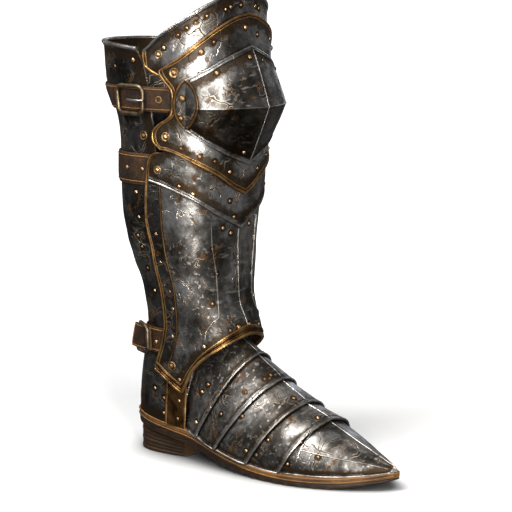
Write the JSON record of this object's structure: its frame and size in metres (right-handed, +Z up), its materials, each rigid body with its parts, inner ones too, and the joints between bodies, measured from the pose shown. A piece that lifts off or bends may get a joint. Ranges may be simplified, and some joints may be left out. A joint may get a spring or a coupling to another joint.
{
  "type": "armoured boot: greave with knee cop and sabaton",
  "caption": "Plate armour for one lower leg: a greave with a pointed knee cop and lames, and a pointed sabaton on a heeled leather sole, closed by buckled leather straps.",
  "frame": {"origin": "on the floor under the middle of the leg, on the flat bottom of the heel", "axes": "+Z up the leg, -Y toward the toe, -X toward the side with the buckles"},
  "size_m": [0.1568, 0.3657, 0.505],
  "materials": {
    "steel": "worn, scratched, with rust-brown pits",
    "dark_steel": "darkened, worn",
    "brass": "aged, darkened in the corners",
    "strap_leather": "worn brown",
    "sole_leather": "stacked brown leather"
  },
  "bodies": {
    "boot": {"front_shell": "steel", "calf_shell": "dark_steel", "lower_lame": "steel", "knee_plate": "steel", "knee_cop": "steel", "side_plate_outer": "dark_steel", "side_plate_inner": "dark_steel", "upper_strap": "strap_leather", "middle_strap": "strap_leather", "ankle_strap": "strap_leather", "upper_buckle": "brass", "upper_tongue": "brass", "ankle_buckle": "dark_steel", "instep_lame": "steel", "foot_lame_1": "steel", "foot_lame_2": "steel", "foot_lame_3": "steel", "toe_cap": "steel", "heel_counter": "dark_steel", "ankle_band_outer": "brass", "ankle_band_inner": "brass", "welt": "sole_leather", "outsole": "sole_leather", "heel_block": "sole_leather", "lame_pivot_outer": "brass", "lame_pivot_inner": "brass", "knee_lobe_rivet_outer": "brass", "knee_lobe_rivet_inner": "brass", "lower_lame_rivet_outer": "brass", "lower_lame_rivet_inner": "brass", "ankle_rivet_outer": "brass", "ankle_rivet_inner": "brass", "side_plate_rivet_outer": "brass", "side_plate_rivet_inner": "brass", "pivot_washer_outer": "dark_steel", "pivot_washer_inner": "dark_steel"},
    "upper_lame": {"upper_lame": "steel"}
  },
  "joints": [
    {"name": "upper_lame_hinge", "type": "hinge", "parent": "boot", "child": "upper_lame", "pos_m": [0, -0.0538, 0.4136], "axis": [-1, 0, 0], "range_deg": [0, 8]}
  ]
}
